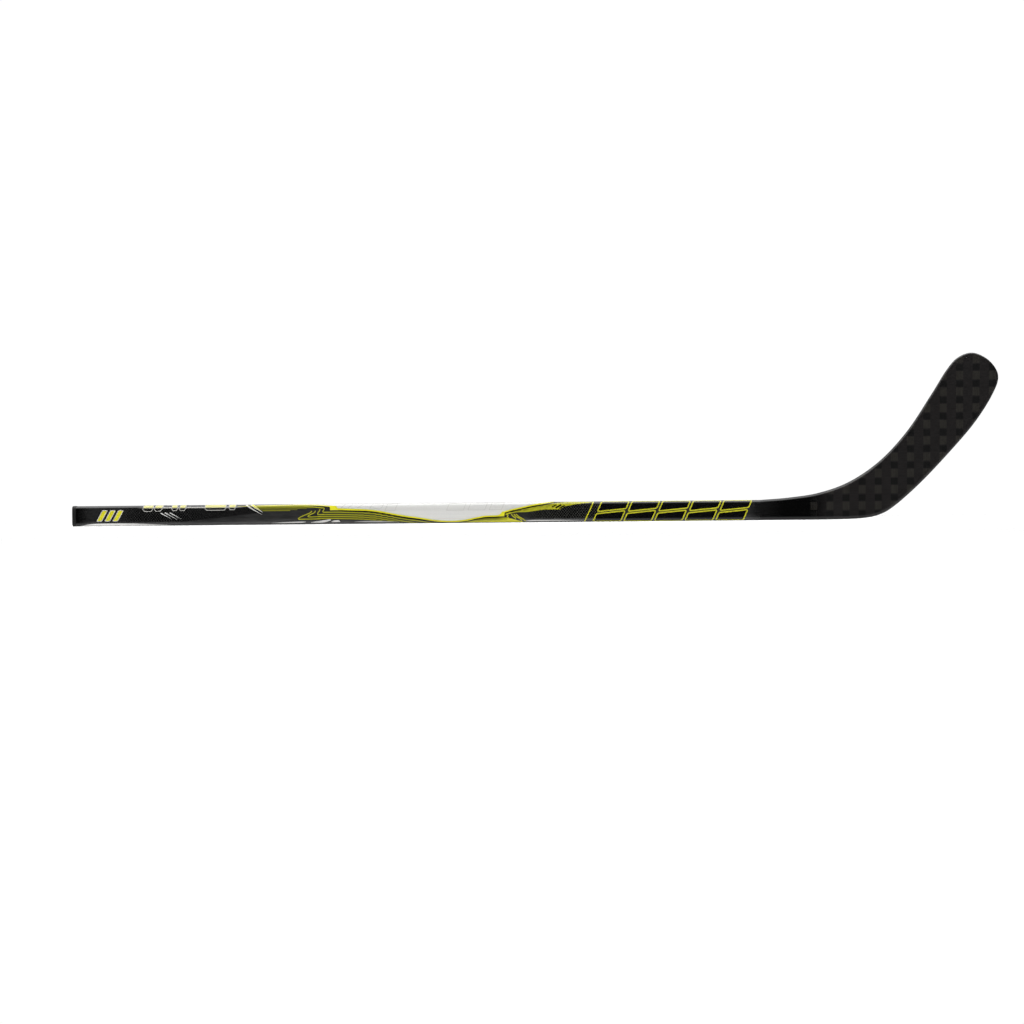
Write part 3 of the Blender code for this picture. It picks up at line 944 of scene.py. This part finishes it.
STRIPES = ((12.1, 322), (9.5, 324), (6.9, 327), (3.9, 333))  # depth under the boundary, start
STEPS_FROM, STEP, LAST_STEP = 372.0, 7.7, 7  # where the stripes break up into steps, in mm


def stripe_tone(s, v):
    """Brightness of the stripes under the boundary; over the slope they break up into steps."""
    here = s / MM
    brightest = 0.0
    for number in range(LAST_STEP + 1):
        anchor = STEPS_FROM + STEP * number
        away = (here - anchor) / STEP
        if (number == 0 and away < 0) or (number == LAST_STEP and away > 0):
            window, base = 1.0, s
        else:
            window, base = 1 - ease((abs(away) - 0.40) / 0.30), anchor * MM
        if window <= 0:
            continue
        high = value_on(BOUNDARY, base)
        for under, start in STRIPES:
            shape = ease(1 - abs(v - high + under * MM) / (1.15 * MM))
            brightest = max(brightest, window * shape * ease((here - start) / 5 + 0.5))
    return 0.62 * brightest


def make_stripes():
    bm = bmesh.new()
    tone_sheet(
        bm, (322, 492, 1.1),
        lambda s: value_on(LOWEST_STRIPE, s) - 1.3 * MM,
        lambda s: value_on(BOUNDARY, s) - 0.7 * MM,
        48, stripe_tone)
    wrap("print_stripes_left", bm, 2, LIME_INK)

    def right_tone(s, v):
        low, high = perimeter_of(0.6), value_on(BOUNDARY, s)
        return 0.9 - 0.75 * ease((v - low) / max(high - low, MM) / 0.85)

    bm = bmesh.new()
    foot = perimeter_of(0.9)
    bend = 571  # where the field narrows to its point
    tone_sheet(
        bm, (503, bend, 2.0), lambda s: foot,
        lambda s: min(value_on(BOUNDARY, s), perimeter_of(7.6)) - 0.7 * MM,
        12, right_tone)
    tone_sheet(
        bm, (bend, 592, 2.0), lambda s: foot,
        lambda s: perimeter_of(6.0 - 4.2 * ease((s / MM - bend) / 21)),
        4, lambda s, v: 0.85)
    wrap("print_stripes_right", bm, 2, LIME_INK)


def make_chevrons():
    """Nested lines that turn back at pointed tips on both sides of the white panel."""
    left = (
        ((315.4, 17.6), (313.2, 15.4), (308.9, 13.4), (302.0, 10.6), (297.6, 7.9), (298.6, 6.9), (303, 6.9),
         (326, 7.2)),
        ((320.0, 17.8), (318.6, 15.4), (314.0, 13.2), (310.2, 11.0), (311.2, 9.9), (314, 9.8), (327, 10.2)),
        ((326.0, 20.0), (325.4, 17.8), (323.4, 15.4), (322.9, 13.5), (324.4, 12.7), (331, 13.0)),
        ((305, 23.9), (311.5, 23.3), (318, 22.7), (325, 21.9), (331.2, 21.2), (330.9, 18.9), (329.7, 17.2),
         (330.8, 15.9), (337, 15.8)),
    )
    right = (
        ((576.1, 13.1), (571.4, 11.6), (572.6, 9.4), (571.6, 7.8), (573.5, 6.0)),
        ((576.9, 11.3), (578.9, 8.3), (582.0, 6.4), (582.4, 4.0)),
        ((580.2, 11.2), (582.8, 8.1), (588.4, 4.8), (590.6, 2.2)),
        ((583.0, 11.2), (586.2, 8.1), (591.8, 4.8), (596.0, 1.7)),
    )
    bm = bmesh.new()
    for chevrons, width, tone in ((left, 1.05, 0.62), (right, 1.0, 0.74)):
        for points in chevrons:
            add_stroke(bm, line(points, 5), width, tone)
    wrap("print_chevron_lines", bm, 5, LIME_INK)


def make_olive_wedge():
    """The olive field right of the panel, its long tail and the slots cut into it."""
    upper = below(part_of(BOUNDARY, 569, 633), 2.6)
    lower = line((
        (569, 9.6), (578, 12.4), (586, 13.6), (598, 13.8), (610, 15.4), (620, 16.6), (632.5, 16.9),
    ))
    tail = (
        (632.5, 16.9), (640.8, 16.8), (647.4, 20.7), (662, 23.3), (678, 24.8), (686, 26.2), (655, 26.5),
        (632.5, 24.6),
    )

    def tone(s, v):
        low, high = value_on(lower, s), value_on(upper, s)
        share = (v - low) / max(high - low, 0.5 * MM)
        wave = math.sin((s / MM - 0.9 * v / MM) * 0.75)
        return 0.62 - 0.16 * ease(share) + 0.04 * wave

    bm = bmesh.new()
    tone_sheet(
        bm, (569.5, 632.5, 1.2), lambda s: value_on(lower, s),
        lambda s: max(value_on(upper, s), value_on(lower, s) + 0.2 * MM), 12, tone)
    add_polygon(bm, layout(tail), 0.60)
    wrap("print_olive_wedge", bm, 2, LIME_INK)

    bm = bmesh.new()
    for start, end, width in (
        ((630.4, 19.8), (636.2, 22.8), 1.5), ((635.2, 18.8), (642.6, 22.8), 1.9),
        ((640.0, 18.0), (647.0, 21.8), 1.8), ((574.0, 13.9), (582.0, 14.3), 0.5),
        ((583.5, 15.2), (590.0, 15.7), 0.5), ((592.0, 16.0), (600.0, 16.5), 0.4),
    ):
        add_stroke(bm, layout((start, end)), width, 0.0)
    wrap("print_wedge_slots", bm, 3, BLACK_INK)


def make_left_bands():
    """The lime band on the upper corner, made pale there as a painted highlight of the overhead light, and
    the stripes under it, which end in steps.
    """
    bm = bmesh.new()
    count = len(HIGHLIGHT)
    halves = [0.25 + 0.70 * ease(i / (count * 0.4)) for i in range(count)]
    lines = [raised(HIGHLIGHT, [-half for half in halves]), HIGHLIGHT, raised(HIGHLIGHT, halves)]
    # Painted highlight: the band's middle and top take the pale lime tone.
    add_band(bm, lines, [0.55, HIGHLIGHT_TONE, HIGHLIGHT_TONE])
    wrap("print_upper_band_painted_highlight", bm, 4, LIME_INK)

    shades = [(perimeter_of(height), tone) for height, tone in (
        (17.8, 0.32), (19.3, 0.30), (19.8, 0.20), (20.2, 0.06), (20.7, 0.18), (21.6, 0.24), (22.8, 0.34),
        (24.4, 0.55),
    )]
    bm = bmesh.new()
    for low, high, start, end in (
        (17.9, 19.1, 250.5, 286.9), (19.1, 20.2, 247.5, 296.3), (20.2, 21.5, 244.5, 308.6),
        (21.5, 24.4, 239.0, 308.6), (21.5, 22.8, 308.6, 318.0), (21.5, 22.2, 318.0, 324.0),
    ):
        foot, top = perimeter_of(low), perimeter_of(high)
        tone_sheet(
            bm, (start, end, 3.0), lambda s: foot, lambda s: top, 6, lambda s, v: value_on(shades, v))
    wrap("print_upper_bands", bm, 3, LIME_INK)


def leaning(start, width, heights, slant, bottom):
    """Corners of a block that leans to the right, from its lower left one round.

    Heights are those of the four corners, and start is the left side's place at the bottom.
    """
    acrosses = (0, width, width, 0)
    return [(start + across + (h - bottom) * slant, h) for across, h in zip(acrosses, heights)]


def rounded(corners, radius, steps=4):
    """A closed outline with its corners rounded off."""
    corners = [Vector(corner) for corner in corners]
    outline = []
    for i, corner in enumerate(corners):
        before, after = corners[i - 1], corners[(i + 1) % len(corners)]
        start = corner + (before - corner).normalized() * radius * MM
        end = corner + (after - corner).normalized() * radius * MM
        for step in range(steps + 1):
            t = step / steps
            outline.append((1 - t) ** 2 * start + 2 * t * (1 - t) * corner + t * t * end)
    return outline


def make_butt_mark():
    """Three leaning bars near the butt."""
    fill, outline = bmesh.new(), bmesh.new()
    low, high = 6.6, 20.6
    for start in (33.0, 43.5, 54.0):
        corners = rounded(layout(leaning(start, 6.4, (low, low, high, high), 0.55, low)), 1.1)
        add_polygon(fill, corners, 0.92)
        add_stroke(outline, corners, 0.9, 1.0, closed=True)
    wrap("print_butt_bars", fill, 2, LIME_INK)
    wrap("print_butt_outlines", outline, 3, SILVER_INK)


def make_upper_blocks():
    """Outlined blocks folded over the upper face of the grip zone, filled where they face up with lime
    print painted pale as a highlight of the overhead light.
    """
    fill, outline = bmesh.new(), bmesh.new()
    edge = perimeter_of(23.3)
    for start, end, foot, lean in (
        (93.5, 106.5, 18.9, 3.0), (108.5, 118.5, 19.2, 5.0), (131.5, 139.0, 19.6, 1.0),
        (141.5, 149.5, 19.6, 3.0), (175.0, 202.5, 19.8, 1.0), (206.5, 215.0, 20.3, 2.0),
    ):
        corner = 2.2 if end - start > 9 else 1.4
        shoulder, base = perimeter_of(foot + 2.6), perimeter_of(foot)
        path = (
            (start + lean, RIDGE), (start, shoulder), (start + corner, base),
            (end - corner, base), (end, shoulder), (end + lean, RIDGE),
        )
        add_stroke(outline, [(s * MM, v) for s, v in path], 0.9, 0.8)
        share = (edge - shoulder) / (RIDGE - shoulder)
        body = (
            (start + lean, RIDGE), (start + lean * share, edge),
            (end + lean * share, edge), (end + lean, RIDGE),
        )
        # The fill's pale lime is a painted highlight on the upward-facing part.
        add_polygon(fill, [(s * MM, v) for s, v in body], HIGHLIGHT_TONE)
    wrap("print_grip_blocks_painted_highlight", fill, 2, LIME_INK)
    wrap("print_grip_outlines", outline, 3, SILVER_INK)


def add_spike(bm, curve, width, tone):
    """A stroke that comes to a point at its far end."""
    last = len(curve) - 1
    halves = [width / 2 * (1 - 0.93 * i / last) for i in range(len(curve))]
    add_band(bm, beside(curve, halves), [tone, tone])


def make_grip_strokes():
    """Light spikes in the grip zone and at its end, and the pinstripe along it."""
    bm = bmesh.new()
    for ends in (
        ((117.0, 16.6), (131.0, 8.8)), ((122.5, 17.0), (139.5, 7.6)), ((129.0, 16.8), (144.0, 8.6)),
    ):
        start, end = [Vector(point) for point in layout(ends)]
        add_spike(bm, [start.lerp(end, i / 5) for i in range(6)], 1.5, 0.85)
    add_spike(bm, line(((229, 26.3), (233, 23.6), (241, 18.6), (250, 13.4))), 2.6, 0.9)
    add_spike(bm, line(((236.5, 26.4), (240, 24.0), (245, 20.4), (250.8, 16.3))), 4.4, 1.0)
    wrap("print_light_spikes", bm, 4, WHITE_INK)

    bm = bmesh.new()
    add_spike(bm, line(((237.2, 26.3), (240.2, 24.0), (244, 21.2), (247.6, 18.6))), 2.3, 1.0)
    wrap("print_lime_spike", bm, 5, LIME_INK)

    bm = bmesh.new()
    points = [Vector((s, perimeter_of(23.6))) for s in spaced(87, 228, 4)]
    count = len(points)
    tones = [0.95 * ease(min(i, count - 1 - i) / 5) for i in range(count)]
    add_band(bm, [below(points, 0.75), below(points, -0.75)], [tones, tones])
    wrap("print_pinstripe", bm, 1, SILVER_INK)


# Pale slivers along the lower corner: print films whose tones are a painted highlight of the floor's
# reflection in the coat.
# Points of (s, lower edge, upper edge, tone) of each sliver; those of foil stay on the rounded corner.
FOIL_HIGHLIGHT_SLIVERS = (
    ((11, 0.4, 0.9, 0.5), (21, 0.4, 2.5, 0.95), (37, 0.4, 3.6, 1.0), (70, 0.4, 3.6, 1.0),
     (94, 0.4, 2.9, 0.8), (119, 0.5, 1.9, 0.5), (131, 0.6, 1.2, 0.25)),
    ((262, 2.2, 2.6, 0.3), (276, 2.2, 3.2, 0.55), (292, 2.4, 3.8, 0.75), (302, 2.6, 3.9, 0.85),
     (307.6, 3.2, 3.6, 0.6)),
    ((371, 2.7, 3.1, 0.25), (385, 2.5, 3.9, 0.45), (405, 2.2, 3.7, 0.45), (430, 1.8, 2.2, 0.2)),
    ((594, 1.7, 2.3, 0.5), (604, 1.6, 3.2, 0.7), (630, 1.6, 3.2, 0.62), (650, 1.7, 3.0, 0.45),
     (672, 1.9, 2.6, 0.25)),
)
WHITE_HIGHLIGHT_SLIVERS = (
    ((314, 2.5, 2.9, 0.3), (320, 2.3, 3.9, 0.7), (328, 2.2, 4.9, 0.9), (333, 2.9, 5.5, 1.0),
     (338.6, 4.6, 6.3, 1.0), (340.4, 5.5, 5.8, 0.8)),
    ((341.0, 3.0, 3.5, 0.6), (344.5, 2.9, 4.9, 0.9), (350.4, 2.9, 5.1, 1.0), (352.3, 3.1, 3.5, 0.8)),
)


def make_highlight_slivers(name, slivers, ink):
    """Pale slivers along the lower corner, print films toned as a painted highlight of the floor's
    reflection.
    """
    bm = bmesh.new()
    for points in slivers:
        lower = line([(s, low) for s, low, high, tone in points])
        upper = line([(s, high) for s, low, high, tone in points])
        shades = [(s * MM, tone) for s, low, high, tone in points]
        tones = [value_on(shades, point.x) for point in upper]
        add_band(bm, [lower, upper], [tones, tones])
    wrap(name, bm, 3, ink)


def make_panel_blocks():
    """The lower graphic: leaning lime rule, then five black blocks, each parted by a diagonal."""
    black, lime = bmesh.new(), bmesh.new()
    bottom, top = 0.9, 26.2
    rule = layout(((672.6, 0.6), (673.6, 2.0), (683.0, 22.0), (685.0, 26.3)))
    add_stroke(lime, rule, 1.35, 0.85)
    pitch, width = 40.2, 36.0
    for number in range(5):
        for heights in ((bottom, bottom, 14.2, 10.6), (13.4, 17.0, top, top)):
            corners = leaning(684.0 + pitch * number, width, heights, 0.47, bottom)
            outline = rounded(layout(corners), 2.4, 5)
            add_polygon(black, outline, 0.2)
            add_stroke(lime, outline, 1.55, 0.74, closed=True)
    wrap("print_panel_blocks", black, 1, BLACK_INK)
    wrap("print_panel_outlines", lime, 2, LIME_INK)


# ================================================================ inside pieces, stage and camera

def finish_inside():
    """Materials of the modelled pieces that are carried over as they are."""
    moulded, tow = moulded_material(), tow_material()
    shaft_foam = foam_material("shaft_foam", (0.80, 0.80, 0.76), (0.58, 0.58, 0.54))
    blade_foam = foam_material("blade_foam", (0.66, 0.60, 0.45), (0.46, 0.41, 0.29))
    for node, material in (
        ("hosel_core", moulded), ("blade_rib", tow), ("shaft_foam_plug", shaft_foam),
        ("blade_lower_core", blade_foam), ("blade_upper_core", blade_foam),
    ):
        piece = bpy.data.objects[node]
        piece.data.materials.clear()
        piece.data.materials.append(material)


def make_floor():
    """A pale floor that glows more and more away from the stick and fades into the white surround."""
    radius = 2.25
    nodes = Finish("studio_floor", roughness=0.9, specular=0.1)
    nodes.use("Base Color", grey(0.93))
    nodes.use("Emission Color", grey(1.0))
    x, y, z = nodes.split()
    aside = nodes.remap(nodes.math("ABSOLUTE", y), 0.10, 0.9, 0.05, 0.30)
    beyond = nodes.remap(nodes.math("ABSOLUTE", x), 0.68, 1.4, 0.0, 0.25)
    nodes.use("Emission Strength", nodes.math("ADD", aside, beyond))
    reach = nodes.math("SQRT", nodes.math("ADD", nodes.times(x, x), nodes.times(y, y)))
    nodes.use("Alpha", nodes.remap(reach, 1.1, 2.2, 1.0, 0.0))
    bm = bmesh.new()
    bmesh.ops.create_circle(bm, cap_ends=True, segments=96, radius=radius)
    for vertex in bm.verts:
        vertex.co.z = -0.2 * MM
    mesh = bpy.data.meshes.new("floor")
    bm.to_mesh(mesh)
    bm.free()
    mesh.materials.append(nodes.material)
    floor = bpy.data.objects.new("floor", mesh)
    bpy.context.scene.collection.objects.link(floor)
    floor.visible_glossy = False


def add_softbox(name, place, size, radiance, in_gloss=True):
    """A rectangular lamp that shines at the middle of the stick and isn't seen by the camera."""
    middle = Vector((0.0, 0.0, 0.02))
    lamp = bpy.data.lights.new(name, "AREA")
    lamp.shape = "RECTANGLE"
    lamp.size, lamp.size_y = size
    lamp.energy = radiance * math.pi * size[0] * size[1]
    item = bpy.data.objects.new(name, lamp)
    item.location = place
    item.rotation_euler = (middle - Vector(place)).to_track_quat("-Z", "Y").to_euler()
    item.visible_camera = False
    item.visible_glossy = in_gloss
    bpy.context.scene.collection.objects.link(item)


def make_light():
    """White surround for the eye, a dim room for reflections, and three soft boxes."""
    world = bpy.data.worlds.new("studio")
    bpy.context.scene.world = world
    world.use_nodes = True
    world.node_tree.nodes.clear()
    nodes = Nodes(world.node_tree, "Generated")
    height = nodes.remap(nodes.split()[2], -1.0, 1.0, smooth=False)
    levels = ((0.0, 0.45), (0.10, 1.15), (0.25, 0.9), (0.42, 0.22), (0.50, 0.03), (0.75, 0.05), (1.0, 0.4))
    colour = nodes.ramp(height, [(at, grey(level)) for at, level in levels])
    room = nodes.add("ShaderNodeBackground", {"Color": colour})
    surround = nodes.add("ShaderNodeBackground", {"Color": grey(1.0), "Strength": 1.02})
    seen = nodes.add("ShaderNodeLightPath").outputs["Is Camera Ray"]
    mix = nodes.add("ShaderNodeMixShader", (seen, room.outputs[0], surround.outputs[0]))
    nodes.add("ShaderNodeOutputWorld", {"Surface": mix.outputs[0]})
    add_softbox("overhead", (0.0, -0.05, 1.6), (3.2, 2.0), 3.0)
    for name, side in (("front", -1), ("rear", 1)):
        add_softbox(name, (side * 0.7, side * 2.7, 1.7), (2.6, 1.6), 0.6, in_gloss=False)


def make_camera():
    """Straight at the front, rolled by half a degree so that the shaft rises to the right."""
    distance = 3.5
    frame_width = 1.3468  # what the frame takes in at that distance
    tilt = math.radians(0.53)
    centre = Vector((BUTT_X + 0.5773, 0.0, 0.01384))
    data = bpy.data.cameras.new("camera")
    data.lens = data.sensor_width * distance / frame_width
    camera = bpy.data.objects.new("camera", data)
    right = Vector((math.cos(tilt), 0.0, -math.sin(tilt)))
    up = Vector((math.sin(tilt), 0.0, math.cos(tilt)))
    back = right.cross(up)
    rotation = Matrix((right, up, back)).transposed().to_4x4()
    camera.matrix_world = Matrix.Translation(centre + back * distance) @ rotation
    bpy.context.scene.collection.objects.link(camera)
    bpy.context.scene.camera = camera


make_shaft()
make_overwrap()
make_cap()
make_blade_face("blade_front_laminate", -1, "blade_front_skin")
make_blade_face("blade_back_laminate", 1, "blade_back_skin")
make_blade_rim()
make_white_panel()
make_boundary()
make_stripes()
make_chevrons()
make_olive_wedge()
make_left_bands()
make_butt_mark()
make_upper_blocks()
make_grip_strokes()
make_highlight_slivers("print_foil_slivers_painted_highlight", FOIL_HIGHLIGHT_SLIVERS, SILVER_FOIL)
make_highlight_slivers("print_white_slivers_painted_highlight", WHITE_HIGHLIGHT_SLIVERS, WHITE_INK)
make_panel_blocks()
finish_inside()
make_floor()
make_light()
make_camera()
bpy.context.scene.view_settings.view_transform = "Standard"
